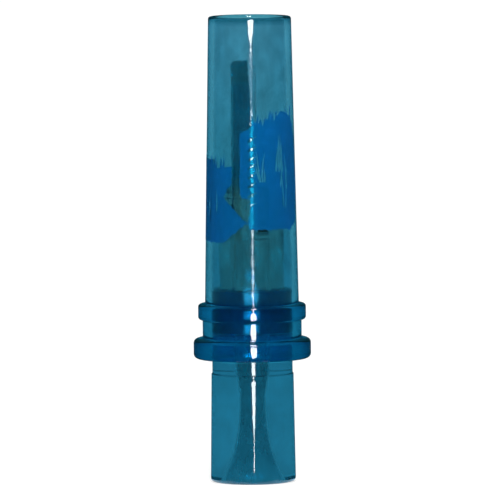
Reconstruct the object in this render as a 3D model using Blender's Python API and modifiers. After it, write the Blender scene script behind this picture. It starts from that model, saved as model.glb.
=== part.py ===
"""Duck call: a clear tapered barrel pushed over an insert that carries two thin plastic reeds.

Run with blender --background --python part.py, or from Blender's text editor.

Frame: metres, +Z up. The call stands on the bell end of its exhaust stopper, with the origin at
the centre of that face and its long axis on Z. The flat reed side of the tone board faces +X.

The sizes below are in millimetres, and mm() turns them into metres.
"""

import math

import bmesh
import bpy
from mathutils import Matrix, Vector

# Whole call
LENGTH = 127.0
FIT_GAP = 0.15  # radial room between two turned pieces that push together
ROUND_STEPS = 64  # facets round a turned piece
ARC_STEPS = 4  # segments in a rounded profile corner

# Barrel: mouthpiece at the top, two lanyard flanges at the bottom
BARREL_BOTTOM = 33.7
MOUTH_RADIUS = 11.3
MOUTH_BORE_RADIUS = 9.5
TUBE_FOOT_RADIUS = 12.8
LIP_ROUND = 0.7
LOWER_FLANGE_RADIUS = 16.0
LOWER_FLANGE_TOP = 39.2
LOWER_FLANGE_ROUND = 1.3
UPPER_FLANGE_RADIUS = 14.7
UPPER_FLANGE_BOTTOM = 44.3
UPPER_FLANGE_TOP = 48.6
UPPER_FLANGE_ROUND = 0.8
GROOVE_RADIUS = 13.5
GROOVE_FILLET = 0.3
SOCKET_CHAMFER = 0.3
SOCKET_TOP = 54.0  # above this the bore narrows evenly to the mouth

# Exhaust stopper: plug inside the barrel, bell below it
PLUG_RADIUS = 10.95
PLUG_TOP = 52.6
PLUG_CHAMFER = 0.5
NECK_SOCKET_FLOOR = 40.8  # solid plug below this, apart from the bore
SHOULDER_HEIGHT = 29.7  # fine step between plug and bell
SHOULDER_STEP = 0.25
BELL_RADIUS = 11.6
BELL_ROUND = 0.9
BELL_MOUTH_RADIUS = 6.05
THROAT_RADIUS = 2.4
THROAT_HEIGHT = 24.0
SHOULDER_BORE_RADIUS = 3.1
SOCKET_BORE_RADIUS = 3.4
FLARE_POWER = 2.5
FLARE_STEPS = 10

# Tone board: a neck pressed into the stopper, a collar, and the half-round board
NECK_RADIUS = 8.85
NECK_TOP = 77.8
NECK_CHAMFER = 0.5
COLLAR_RADIUS = 7.0
COLLAR_TOP = 83.0
COLLAR_ROUND = 0.8
BOARD_RADIUS = 5.35
BOARD_TIP = 115.0
BOARD_TIP_ROUND = 1.6
BED_X = 0.6  # plane that the reeds lie on
LAY_DROP = 1.3  # how far the face has curved away from the reeds at the tip
LAY_STEPS = 12
NECK_BORE_RADIUS = 3.6
NECK_BORE_TOP = 66.0
CHANNEL_RADIUS = 2.1
CHANNEL_X = -1.9
CHANNEL_BOTTOM = 58.0
CHANNEL_OPEN_FROM = 78.4
CHANNEL_END = 108.6
BORE_SIDES = 32

# Reeds and the wedge that holds their tails in the notch
NOTCH_FLOOR = 68.0
NOTCH_ROOF_X = 4.7  # at the floor of the notch, which opens upwards
NOTCH_ROOF_OPENING = 0.35
REED_GAP = 0.2
REED_BOTTOM = NOTCH_FLOOR + 0.4
REED_TAIL_CORNER = 0.3
LOWER_REED = {"thickness": 0.36, "width": 9.9, "tip": 113.6, "corner": 2.6}
UPPER_REED = {"thickness": 0.26, "width": 9.5, "tip": 111.6, "corner": 1.4}
DIMPLE_HEIGHT = 104.5
DIMPLE_RADIUS = 1.5
DIMPLE_DEPTH = 0.1
DIMPLE_BACK = 0.08  # body behind the dish, less than the reed's thickness
DIMPLE_SIDES = 24
WEDGE_WIDTH = 9.4
WEDGE_TOP = 80.6
WEDGE_ROUND = 0.5

# Colours (linear) and finishes: base colour, roughness, how far light passes through
BLUE_CLEAR = ((0.10, 0.36, 0.50), 0.08, 0.9)
SMOKE_CLEAR = ((0.35, 0.42, 0.45), 0.15, 0.85)
MYLAR = ((0.78, 0.84, 0.86), 0.2, 0.6)
CORK = ((0.55, 0.36, 0.20), 0.8, 0.0)


def mm(value):
    """Millimetres to metres."""
    return value * 0.001


# ---------------------------------------------------------------- scene helpers


def clear_scene():
    for obj in list(bpy.data.objects):
        bpy.data.objects.remove(obj, do_unlink=True)


def new_collection(name):
    collection = bpy.data.collections.new(name)
    bpy.context.scene.collection.children.link(collection)
    return collection


def material(name, look):
    colour, roughness, clearness = look
    made = bpy.data.materials.new(name)
    made.use_nodes = True
    shader = made.node_tree.nodes["Principled BSDF"]
    shader.inputs["Base Color"].default_value = (*colour, 1.0)
    shader.inputs["Roughness"].default_value = roughness
    shader.inputs["Transmission Weight"].default_value = clearness
    shader.inputs["Metallic"].default_value = 0.0
    made.diffuse_color = (*colour, 1.0)
    return made


def mesh_object(name, mesh, collection, look=None):
    obj = bpy.data.objects.new(name, mesh)
    collection.objects.link(obj)
    if look is not None:
        mesh.materials.append(look)
    return obj


def as_cutter(obj):
    obj.hide_render = True
    obj.display_type = "WIRE"
    return obj


def boolean(obj, cutter, operation):
    change = obj.modifiers.new(f"{operation.lower()} {cutter.name}", "BOOLEAN")
    change.operation = operation
    change.solver = "EXACT"
    change.object = cutter
    return change


# ---------------------------------------------------------------- outlines


def arc(centre, radius, start, end, steps):
    """Points on a circle from one angle to another, in degrees, both ends included."""
    points = []
    for i in range(steps + 1):
        angle = math.radians(start + (end - start) * i / steps)
        points.append((centre[0] + radius * math.cos(angle), centre[1] + radius * math.sin(angle)))
    return points


def rounded(corners, steps=ARC_STEPS):
    """A closed outline from (x, y, corner radius) points, with each corner turned into an arc."""
    outline = []
    for i, (x, y, radius) in enumerate(corners):
        here = Vector((x, y))
        if radius == 0:
            outline.append((x, y))
            continue
        before = (Vector(corners[i - 1][:2]) - here).normalized()
        after = (Vector(corners[(i + 1) % len(corners)][:2]) - here).normalized()
        half = before.angle(after) / 2
        centre = here + (before + after).normalized() * (radius / math.sin(half))
        first = here + before * (radius / math.tan(half)) - centre
        last = here + after * (radius / math.tan(half)) - centre
        start = math.degrees(math.atan2(first.y, first.x))
        turn = math.degrees(math.atan2(first.x * last.y - first.y * last.x, first.dot(last)))
        outline += arc(centre, radius, start, start + turn, steps)
    return outline


def turned(name, outline, collection, look=None, closed=True, steps=ROUND_STEPS):
    """A turned solid: a (radius, height) outline in millimetres, screwed round Z.

    The outline runs down its outer side. An open outline starts and ends on the axis.
    """
    mesh = bpy.data.meshes.new(name)
    points = [(mm(r), 0.0, mm(z)) for r, z in outline]
    edges = [(i, i + 1) for i in range(len(points) - 1)]
    if closed:
        edges.append((len(points) - 1, 0))
    mesh.from_pydata(points, edges, [])
    obj = mesh_object(name, mesh, collection, look)
    screw = obj.modifiers.new("turn", "SCREW")
    screw.axis = "Z"
    screw.angle = 2 * math.pi
    screw.steps = steps
    screw.render_steps = steps
    screw.use_merge_vertices = True
    screw.merge_threshold = 1e-5
    screw.use_smooth_shade = True
    return obj


def slab(name, outline, thickness, matrix, collection):
    """A flat outline with a thickness, as one closed mesh, centred on its plane."""
    curve = bpy.data.curves.new(name, "CURVE")
    curve.dimensions = "2D"
    curve.fill_mode = "BOTH"
    curve.extrude = mm(thickness) / 2
    spline = curve.splines.new("POLY")
    spline.points.add(len(outline) - 1)
    for point, (x, y) in zip(spline.points, outline):
        point.co = (mm(x), mm(y), 0.0, 1.0)
    spline.use_cyclic_u = True
    drawn = bpy.data.objects.new(name + "_outline", curve)
    collection.objects.link(drawn)
    bpy.context.view_layer.update()
    graph = bpy.context.evaluated_depsgraph_get()
    mesh = bpy.data.meshes.new_from_object(drawn.evaluated_get(graph))
    bpy.data.objects.remove(drawn, do_unlink=True)
    made = bmesh.new()
    made.from_mesh(mesh)
    bmesh.ops.remove_doubles(made, verts=made.verts, dist=1e-6)
    bmesh.ops.recalc_face_normals(made, faces=made.faces)
    bmesh.ops.transform(made, matrix=matrix, verts=made.verts)
    made.to_mesh(mesh)
    made.free()
    mesh.name = name
    return mesh_object(name, mesh, collection)


def rod(name, radius, bottom, top, x, collection):
    """An upright cylinder between two heights."""
    made = bmesh.new()
    bmesh.ops.create_cone(
        made,
        cap_ends=True,
        segments=BORE_SIDES,
        radius1=mm(radius),
        radius2=mm(radius),
        depth=mm(top - bottom),
    )
    bmesh.ops.translate(made, vec=(mm(x), 0.0, mm(bottom + top) / 2), verts=made.verts)
    mesh = bpy.data.meshes.new(name)
    made.to_mesh(mesh)
    made.free()
    return mesh_object(name, mesh, collection)


def block(name, low, high, collection):
    """A box between two corners."""
    made = bmesh.new()
    bmesh.ops.create_cube(made, size=1.0)
    size = [mm(b - a) for a, b in zip(low, high)]
    centre = [mm(a + b) / 2 for a, b in zip(low, high)]
    place = Matrix.Translation(centre) @ Matrix.Diagonal((*size, 1.0))
    bmesh.ops.transform(made, matrix=place, verts=made.verts)
    mesh = bpy.data.meshes.new(name)
    made.to_mesh(mesh)
    made.free()
    return mesh_object(name, mesh, collection)


# An outline drawn as (x, z) stands up in the XZ plane; one drawn as (y, z) in the YZ plane.
STANDING_XZ = Matrix(((1, 0, 0, 0), (0, 0, -1, 0), (0, 1, 0, 0), (0, 0, 0, 1)))
STANDING_YZ = Matrix(((0, 0, 1, 0), (1, 0, 0, 0), (0, 1, 0, 0), (0, 0, 0, 1)))


# ---------------------------------------------------------------- pieces


def make_barrel(parts, blue):
    """The mouthpiece tube, its two flanges with the lanyard groove, and its tapering bore."""
    socket_radius = PLUG_RADIUS + FIT_GAP
    outline = rounded(
        [
            (MOUTH_BORE_RADIUS, LENGTH, LIP_ROUND),
            (MOUTH_RADIUS, LENGTH, LIP_ROUND),
            (TUBE_FOOT_RADIUS, UPPER_FLANGE_TOP, GROOVE_FILLET),
            (UPPER_FLANGE_RADIUS, UPPER_FLANGE_TOP, UPPER_FLANGE_ROUND),
            (UPPER_FLANGE_RADIUS, UPPER_FLANGE_BOTTOM, UPPER_FLANGE_ROUND),
            (GROOVE_RADIUS, UPPER_FLANGE_BOTTOM, GROOVE_FILLET),
            (GROOVE_RADIUS, LOWER_FLANGE_TOP, GROOVE_FILLET),
            (LOWER_FLANGE_RADIUS, LOWER_FLANGE_TOP, LOWER_FLANGE_ROUND),
            (LOWER_FLANGE_RADIUS, BARREL_BOTTOM, LOWER_FLANGE_ROUND),
            (socket_radius + SOCKET_CHAMFER, BARREL_BOTTOM, 0),
            (socket_radius, BARREL_BOTTOM + SOCKET_CHAMFER, 0),
            (socket_radius, SOCKET_TOP, 0),
        ]
    )
    return turned("barrel", outline, parts, blue)


def flare(height):
    """Radius of the bell's bore at a height between the mouth and the throat."""
    share = 1 - height / THROAT_HEIGHT
    return THROAT_RADIUS + (BELL_MOUTH_RADIUS - THROAT_RADIUS) * share**FLARE_POWER


def make_exhaust_stopper(parts, blue):
    """The plug that pushes into the barrel, the bell below it, and the bore through both."""
    socket_radius = NECK_RADIUS + FIT_GAP
    outer = [
        (socket_radius, PLUG_TOP),
        (PLUG_RADIUS - PLUG_CHAMFER, PLUG_TOP),
        (PLUG_RADIUS, PLUG_TOP - PLUG_CHAMFER),
        (PLUG_RADIUS, SHOULDER_HEIGHT),
        (PLUG_RADIUS + SHOULDER_STEP, SHOULDER_HEIGHT - SHOULDER_STEP),
    ]
    foot = arc((BELL_RADIUS - BELL_ROUND, BELL_ROUND), BELL_ROUND, 0, -90, ARC_STEPS)
    heights = [THROAT_HEIGHT * i / FLARE_STEPS for i in range(FLARE_STEPS + 1)]
    bore = [(flare(z), z) for z in heights]
    top = [
        (SHOULDER_BORE_RADIUS, SHOULDER_HEIGHT),
        (SOCKET_BORE_RADIUS, NECK_SOCKET_FLOOR),
        (socket_radius, NECK_SOCKET_FLOOR),
    ]
    return turned("exhaust_stopper", outer + foot + bore + top, parts, blue)


def lay(height):
    """X of the tone board's face at a height: flat at the neck, then curving away."""
    share = max(0.0, (height - NECK_TOP) / (BOARD_TIP - NECK_TOP))
    return BED_X - LAY_DROP * share**2


def make_tone_board(parts, cutters, smoke):
    """Neck, collar and half-round board in one moulding, with its bore, channel and notch."""
    neck_foot = NECK_SOCKET_FLOOR + FIT_GAP
    tip = arc(
        (BOARD_RADIUS - BOARD_TIP_ROUND, BOARD_TIP - BOARD_TIP_ROUND),
        BOARD_TIP_ROUND,
        90,
        0,
        ARC_STEPS,
    )
    collar = arc(
        (COLLAR_RADIUS - COLLAR_ROUND, COLLAR_TOP - COLLAR_ROUND),
        COLLAR_ROUND,
        90,
        0,
        ARC_STEPS,
    )
    rest = [
        (COLLAR_RADIUS, NECK_TOP),
        (NECK_RADIUS - NECK_CHAMFER, NECK_TOP),
        (NECK_RADIUS, NECK_TOP - NECK_CHAMFER),
        (NECK_RADIUS, neck_foot),
        (0.0, neck_foot),
    ]
    outline = [(0.0, BOARD_TIP), *tip, (BOARD_RADIUS, COLLAR_TOP), *collar, *rest]
    board = turned("tone_board", outline, parts, smoke, closed=False)

    clear = 2 * NECK_RADIUS  # past every side of the board
    rises = [NECK_TOP + (BOARD_TIP - NECK_TOP) * i / LAY_STEPS for i in range(LAY_STEPS + 2)]
    face = [(lay(z), z) for z in rises]
    notch = [
        (clear, rises[-1]),
        (clear, NECK_TOP),
        (NOTCH_ROOF_X + NOTCH_ROOF_OPENING, NECK_TOP),
        (NOTCH_ROOF_X, NOTCH_FLOOR),
        (BED_X, NOTCH_FLOOR),
    ]
    reed_side = slab("reed_side_cut", face + notch, 2 * clear, STANDING_XZ, cutters)
    neck_bore = rod(
        "neck_bore_cut", NECK_BORE_RADIUS, neck_foot - 1, NECK_BORE_TOP, 0.0, cutters
    )
    channel = rod(
        "channel_cut", CHANNEL_RADIUS, CHANNEL_BOTTOM, CHANNEL_END, CHANNEL_X, cutters
    )
    mouth = block(
        "channel_mouth_cut",
        (CHANNEL_X, -CHANNEL_RADIUS, CHANNEL_OPEN_FROM),
        (BED_X + 1, CHANNEL_RADIUS, CHANNEL_END),
        cutters,
    )
    for cutter in (reed_side, neck_bore, channel, mouth):
        boolean(board, as_cutter(cutter), "DIFFERENCE")
    return board


def make_reed(name, shape, under_x, parts, look):
    """A flat plastic reed standing on the bed, with rounded tip corners."""
    half = shape["width"] / 2
    outline = rounded(
        [
            (-half, REED_BOTTOM, REED_TAIL_CORNER),
            (half, REED_BOTTOM, REED_TAIL_CORNER),
            (half, shape["tip"], shape["corner"]),
            (-half, shape["tip"], shape["corner"]),
        ]
    )
    place = Matrix.Translation((mm(under_x + shape["thickness"] / 2), 0, 0)) @ STANDING_YZ
    reed = slab(name, outline, shape["thickness"], place, parts)
    reed.data.materials.append(look)
    return reed


def dimple(name, x, collection):
    """A shallow round dish that bulges to -X from a given x, with a little body behind it."""
    curve = (DIMPLE_RADIUS**2 + DIMPLE_DEPTH**2) / (2 * DIMPLE_DEPTH)
    swept = math.degrees(math.asin(DIMPLE_RADIUS / curve))
    dish = arc((0.0, curve - DIMPLE_DEPTH), curve, -90 + swept, -90, ARC_STEPS)
    outline = [(0.0, DIMPLE_BACK), (DIMPLE_RADIUS, DIMPLE_BACK), *dish]
    shape = turned(name, outline, collection, closed=False, steps=DIMPLE_SIDES)
    shape.rotation_euler = (0.0, math.pi / 2, 0.0)
    shape.location = (mm(x), 0.0, mm(DIMPLE_HEIGHT))
    return as_cutter(shape)


def press_dimple(reed, under_x, thickness, cutters):
    """The dimple that keeps the two reeds apart: proud under the reed and hollow on top."""
    boolean(reed, dimple("dimple_bump", under_x, cutters), "UNION")
    boolean(reed, dimple("dimple_hollow", under_x + thickness, cutters), "DIFFERENCE")


def make_wedge(parts, under_x, cork):
    """The cork wedge between the reeds and the roof of the notch."""
    roof = NOTCH_ROOF_X - REED_GAP
    rise = (WEDGE_TOP - NOTCH_FLOOR) / (NECK_TOP - NOTCH_FLOOR)
    outline = rounded(
        [
            (under_x, NOTCH_FLOOR + 2 * REED_GAP, 0),
            (roof, NOTCH_FLOOR + 2 * REED_GAP, 0),
            (roof + NOTCH_ROOF_OPENING * rise, WEDGE_TOP, WEDGE_ROUND),
            (under_x, WEDGE_TOP, WEDGE_ROUND),
        ]
    )
    wedge = slab("reed_wedge", outline, WEDGE_WIDTH, STANDING_XZ, parts)
    wedge.data.materials.append(cork)
    return wedge


def main():
    clear_scene()
    parts = new_collection("duck_call")
    cutters = new_collection("cutters")
    blue = material("blue_clear_plastic", BLUE_CLEAR)
    smoke = material("smoke_clear_plastic", SMOKE_CLEAR)
    mylar = material("reed_film", MYLAR)
    cork = material("cork", CORK)

    make_barrel(parts, blue)
    make_exhaust_stopper(parts, blue)
    make_tone_board(parts, cutters, smoke)

    lower_x = BED_X + REED_GAP
    upper_x = lower_x + LOWER_REED["thickness"] + REED_GAP
    wedge_x = upper_x + UPPER_REED["thickness"] + REED_GAP
    make_reed("lower_reed", LOWER_REED, lower_x, parts, mylar)
    upper = make_reed("upper_reed", UPPER_REED, upper_x, parts, mylar)
    press_dimple(upper, upper_x, UPPER_REED["thickness"], cutters)
    make_wedge(parts, wedge_x, cork)


main()
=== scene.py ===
"""Looks of the duck call: clear blue barrel and stopper, smoke-clear tone board, film reeds, cork.

Everything is in metres in the CAD frame: +Z up the bore from the bell end, reed side towards +X.
Sizes below are in millimetres, and mm() turns them into metres.
"""

import math
import random

import bmesh
import bpy
import numpy as np
from mathutils import Matrix, Vector
from mathutils.geometry import delaunay_2d_cdt


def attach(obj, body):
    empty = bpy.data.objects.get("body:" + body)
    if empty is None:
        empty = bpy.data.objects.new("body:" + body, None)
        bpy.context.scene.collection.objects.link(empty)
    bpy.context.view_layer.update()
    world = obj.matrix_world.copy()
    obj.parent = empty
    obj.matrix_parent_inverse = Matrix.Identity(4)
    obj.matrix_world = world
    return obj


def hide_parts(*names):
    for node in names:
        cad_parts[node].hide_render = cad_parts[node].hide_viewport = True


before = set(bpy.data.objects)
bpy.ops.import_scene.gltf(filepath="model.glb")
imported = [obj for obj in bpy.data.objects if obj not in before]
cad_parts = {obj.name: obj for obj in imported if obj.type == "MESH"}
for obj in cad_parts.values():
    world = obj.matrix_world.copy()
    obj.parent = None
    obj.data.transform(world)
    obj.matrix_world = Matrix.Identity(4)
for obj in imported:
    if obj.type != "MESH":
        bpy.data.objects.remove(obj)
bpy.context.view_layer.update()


def mm(value):
    """Millimetres to metres."""
    return value * 0.001


# ---------------------------------------------------------------- sizes, as in the CAD

LENGTH = 127.0
FIT_GAP = 0.15
BARREL_BOTTOM = 33.7
MOUTH_RADIUS = 11.3
MOUTH_BORE_RADIUS = 9.5
TUBE_FOOT_RADIUS = 12.8
LOWER_FLANGE_RADIUS = 16.0
LOWER_FLANGE_TOP = 39.2
UPPER_FLANGE_RADIUS = 14.7
UPPER_FLANGE_BOTTOM = 44.3
UPPER_FLANGE_TOP = 48.6
GROOVE_RADIUS = 13.5
SOCKET_TOP = 54.0
PLUG_RADIUS = 10.95
PLUG_TOP = 52.6
NECK_SOCKET_FLOOR = 40.8
SHOULDER_HEIGHT = 29.7
SHOULDER_STEP = 0.25
BELL_RADIUS = 11.6
BELL_MOUTH_RADIUS = 6.05
THROAT_RADIUS = 2.4
THROAT_HEIGHT = 24.0
SHOULDER_BORE_RADIUS = 3.1
SOCKET_BORE_RADIUS = 3.4
FLARE_POWER = 2.5
NECK_RADIUS = 8.85
NECK_TOP = 77.8
COLLAR_RADIUS = 7.0
COLLAR_TOP = 83.0
BOARD_RADIUS = 5.35
BOARD_TIP = 115.0
BED_X = 0.6
LAY_DROP = 1.3
NECK_BORE_RADIUS = 3.6
NECK_BORE_TOP = 66.0
CHANNEL_RADIUS = 2.1
CHANNEL_X = -1.9
CHANNEL_BOTTOM = 58.0
CHANNEL_OPEN_FROM = 78.4
CHANNEL_END = 108.6
NOTCH_FLOOR = 68.0
NOTCH_ROOF_X = 4.7
NOTCH_ROOF_OPENING = 0.35
REED_GAP = 0.2
REED_BOTTOM = 68.4
LOWER_REED = {"thickness": 0.36, "width": 9.9, "tip": 113.6, "corner": 2.6, "dimple": 0.0}
UPPER_REED = {"thickness": 0.26, "width": 9.5, "tip": 111.6, "corner": 1.4, "dimple": 0.1}
DIMPLE_HEIGHT = 104.5
DIMPLE_RADIUS = 1.5
WEDGE_WIDTH = 9.4
WEDGE_TOP = 80.6

ROUND_STEPS = 192
BOARD_STEPS = 128
ROD_STEPS = 64
ARC_STEPS = 8
LONGEST_EDGE = 2.5
SHARP_OVER = 32.0


# ---------------------------------------------------------------- mesh helpers


def link(obj):
    """Puts an object in the scene."""
    bpy.context.scene.collection.objects.link(obj)
    return obj


def arc(centre, radius, start, end, steps=ARC_STEPS):
    """Points on a circle from one angle to another, in degrees, both ends included."""
    angles = np.radians(np.linspace(start, end, steps + 1))
    return [(centre[0] + radius * math.cos(a), centre[1] + radius * math.sin(a)) for a in angles]


def rounded(corners, steps=ARC_STEPS):
    """A closed outline from (x, y, corner radius) points, with each corner turned into an arc."""
    outline = []
    for i, (x, y, radius) in enumerate(corners):
        here = Vector((x, y))
        if radius == 0:
            outline.append((x, y))
            continue
        before = (Vector(corners[i - 1][:2]) - here).normalized()
        after = (Vector(corners[(i + 1) % len(corners)][:2]) - here).normalized()
        half = before.angle(after) / 2
        centre = here + (before + after).normalized() * (radius / math.sin(half))
        first = here + before * (radius / math.tan(half)) - centre
        last = here + after * (radius / math.tan(half)) - centre
        start = math.degrees(math.atan2(first.y, first.x))
        turn = math.degrees(math.atan2(first.x * last.y - first.y * last.x, first.dot(last)))
        outline += arc(centre, radius, start, start + turn, steps)
    return outline


def filled(outline, longest):
    """The outline with points added so that no edge is longer than this."""
    points = []
    for here, there in zip(outline, outline[1:] + outline[:1]):
        pieces = max(1, math.ceil(math.dist(here, there) / longest))
        for i in range(pieces):
            share = i / pieces
            points.append(tuple(a + (b - a) * share for a, b in zip(here, there)))
    return points


def mesh_piece(name, mesh):
    """An object from a mesh, smooth apart from its sharp edges."""
    mesh.validate()
    mesh.shade_smooth()
    mesh.set_sharp_from_angle(angle=math.radians(SHARP_OVER))
    return link(bpy.data.objects.new(name, mesh))


def finished_mesh(made, name):
    """The mesh that was being made, with its faces turned outwards."""
    bmesh.ops.recalc_face_normals(made, faces=made.faces)
    mesh = bpy.data.meshes.new(name)
    made.to_mesh(mesh)
    made.free()
    return mesh


def lathe_mesh(name, outline, steps=ROUND_STEPS, closed=True):
    """A turned mesh from an (r, z) outline in millimetres. An open outline ends on the axis."""
    made = bmesh.new()
    rings = []
    for r, z in outline:
        if r == 0:
            rings.append([made.verts.new((0.0, 0.0, mm(z)))])
            continue
        angles = [2 * math.pi * i / steps for i in range(steps)]
        ring = [made.verts.new((mm(r * math.cos(a)), mm(r * math.sin(a)), mm(z))) for a in angles]
        rings.append(ring)
    pairs = list(zip(rings, rings[1:]))
    if closed:
        pairs.append((rings[-1], rings[0]))
    for upper, lower in pairs:
        for i in range(steps):
            j = (i + 1) % steps
            corners = [upper[i % len(upper)], lower[i % len(lower)]]
            corners += [lower[j % len(lower)], upper[j % len(upper)]]
            unique = list(dict.fromkeys(corners))
            if len(unique) > 2:
                made.faces.new(unique)
    return finished_mesh(made, name)


def slab_mesh(name, outline, low, high, to_point):
    """A flat outline with a thickness from low to high, in millimetres, mapped by to_point."""
    made = bmesh.new()
    bottom = [made.verts.new(to_point(u, v, low)) for u, v in outline]
    top = [made.verts.new(to_point(u, v, high)) for u, v in outline]
    made.faces.new(bottom)
    made.faces.new(top)
    for i in range(len(outline)):
        j = (i + 1) % len(outline)
        made.faces.new((bottom[i], bottom[j], top[j], top[i]))
    return finished_mesh(made, name)


def upright_xz(u, v, w):
    """A point of an outline drawn in the XZ plane, w along Y."""
    return (mm(u), mm(w), mm(v))


def upright_yz(u, v, w):
    """A point of an outline drawn in the YZ plane, w along X."""
    return (mm(w), mm(u), mm(v))


def rod_mesh(name, radius, bottom, top, x):
    """A round upright rod with its axis at x, as a cutter."""
    angles = np.linspace(0, 2 * math.pi, ROD_STEPS + 1)[:-1]
    outline = [(radius * math.cos(a), radius * math.sin(a)) for a in angles]
    return slab_mesh(name, outline, bottom, top, lambda u, v, w: (mm(u + x), mm(v), mm(w)))


WELD_WITHIN = 0.004
EASED_OVER = 38.0


def cut(base, cutters, bevel):
    """The base mesh with the cutter meshes taken away and its edges eased, as a new mesh."""
    body = link(bpy.data.objects.new("cut_body", base))
    helpers = []
    for mesh in cutters:
        helper = link(bpy.data.objects.new("cut_helper", mesh))
        helpers.append(helper)
        change = body.modifiers.new("cut", "BOOLEAN")
        change.operation = "DIFFERENCE"
        change.solver = "EXACT"
        change.object = helper
    weld = body.modifiers.new("weld", "WELD")
    weld.merge_threshold = mm(WELD_WITHIN)
    ease = body.modifiers.new("ease", "BEVEL")
    ease.width = mm(bevel)
    ease.segments = 2
    ease.limit_method = "ANGLE"
    ease.angle_limit = math.radians(EASED_OVER)
    bpy.context.view_layer.update()
    graph = bpy.context.evaluated_depsgraph_get()
    mesh = bpy.data.meshes.new_from_object(body.evaluated_get(graph))
    for helper in [body, *helpers]:
        bpy.data.objects.remove(helper, do_unlink=True)
    return mesh


# ---------------------------------------------------------------- node helpers


class Graph:
    """Short names for building a node tree."""

    def __init__(self, node_tree):
        self.nodes = node_tree.nodes
        self.links = node_tree.links

    def add(self, kind, **settings):
        """A new shader node of this kind, with its settings."""
        node = self.nodes.new("ShaderNode" + kind)
        for key, value in settings.items():
            setattr(node, key, value)
        return node

    def join(self, source, target):
        self.links.new(source, target)

    def ranged(self, value, low, high, out_low, out_high, **settings):
        """The value mapped from one range to another, and held inside it."""
        change = self.add("MapRange", clamp=True, **settings)
        self.join(value, change.inputs["Value"])
        names = ("From Min", "From Max", "To Min", "To Max")
        for socket, number in zip(names, (low, high, out_low, out_high)):
            change.inputs[socket].default_value = number
        return change.outputs["Result"]

    def maths(self, operation, *values):
        """The result of a Math node on numbers or outputs."""
        made = self.add("Math", operation=operation)
        for socket, value in zip(made.inputs, values):
            if isinstance(value, (int, float)):
                socket.default_value = value
            else:
                self.join(value, socket)
        return made.outputs[0]

    def mixed(self, factor, a, b):
        """A colour between a and b, each a colour or an output."""
        made = self.add("Mix", data_type="RGBA")
        self.join(factor, made.inputs["Factor"])
        colour_inputs = [s for s in made.inputs if s.type == "RGBA"]
        for socket, value in zip(colour_inputs, (a, b)):
            if isinstance(value, tuple):
                socket.default_value = (*value, 1.0)
            else:
                self.join(value, socket)
        return [s for s in made.outputs if s.type == "RGBA"][0]


class Tree(Graph):
    """One material's nodes, placed by object coordinates."""

    def __init__(self, name):
        self.material = bpy.data.materials.new(name)
        self.material.use_nodes = True
        super().__init__(self.material.node_tree)
        self.shader = self.nodes["Principled BSDF"]
        self.output = self.nodes["Material Output"]

    def point(self, scale=(1, 1, 1), turn=(0, 0, 0)):
        """Object coordinates in metres, scaled."""
        place = self.add("TexCoord")
        change = self.add("Mapping")
        change.inputs["Scale"].default_value = scale
        change.inputs["Rotation"].default_value = turn
        self.join(place.outputs["Object"], change.inputs["Vector"])
        return change.outputs[0]

    def height(self):
        """Height up the piece, in metres."""
        place = self.add("TexCoord")
        split = self.add("SeparateXYZ")
        self.join(place.outputs["Object"], split.inputs[0])
        return split.outputs["Z"]

    def noise(self, scale, detail=3.0, rough=0.55, stretch=(1, 1, 1), turn=(0, 0, 0)):
        """A noise texture's value, stretched and turned."""
        made = self.add("TexNoise")
        made.inputs["Scale"].default_value = scale
        made.inputs["Detail"].default_value = detail
        made.inputs["Roughness"].default_value = rough
        self.join(self.point(stretch, turn), made.inputs["Vector"])
        return made.outputs["Fac"]

    def up_piece(self, stops):
        """A colour that changes with height, from (height in mm, colour) stops."""
        low, high = stops[0][0], stops[-1][0]
        share = self.ranged(self.height(), mm(low), mm(high), 0.0, 1.0)
        ramp = self.add("ValToRGB")
        self.join(share, ramp.inputs[0])
        marks = ramp.color_ramp.elements
        while len(marks) < len(stops):
            marks.new(0.5)
        for mark, (height, _) in zip(marks, stops):
            mark.position = (height - low) / (high - low)
        for mark, (_, colour) in zip(marks, stops):
            mark.color = (*colour, 1.0)
        return ramp.outputs["Color"]

    def between(self, low, high, fade=3.0):
        """1 between two heights in mm, fading to 0 outside them."""
        height = self.height()
        rise = self.ranged(height, mm(low - fade), mm(low), 0.0, 1.0)
        fall = self.ranged(height, mm(high), mm(high + fade), 1.0, 0.0)
        return self.maths("MULTIPLY", rise, fall)

    def from_axis(self):
        """Distance from the call's long axis, in metres."""
        away = self.add("VectorMath", operation="LENGTH")
        self.join(self.point((1, 1, 0)), away.inputs[0])
        return away.outputs["Value"]

    def bump(self, height, distance, strength=1.0, under=None):
        """A normal raised by a height, over another bump if there is one under it."""
        made = self.add("Bump")
        made.inputs["Strength"].default_value = strength
        made.inputs["Distance"].default_value = distance
        self.join(height, made.inputs["Height"])
        if under is not None:
            self.join(under, made.inputs["Normal"])
        return made.outputs["Normal"]


def plain(tree, **values):
    """Sets constants on the shader's own sockets, by their names with _ for each space."""
    for key, value in values.items():
        name = key.replace("_", " ")
        socket = tree.shader.inputs[name]
        socket.default_value = (*value, 1.0) if isinstance(value, tuple) else value


# ---------------------------------------------------------------- materials


PEBBLE_SCALE = 1200.0
CLOUD_SHARES = (0.90, 1.15)
BAND_FADE = 0.2


def shaded(stops, share):
    """The same (height, colour) stops with every colour made deeper or paler."""
    return [(height, tuple(min(1.0, c * share) for c in colour)) for height, colour in stops]


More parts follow.
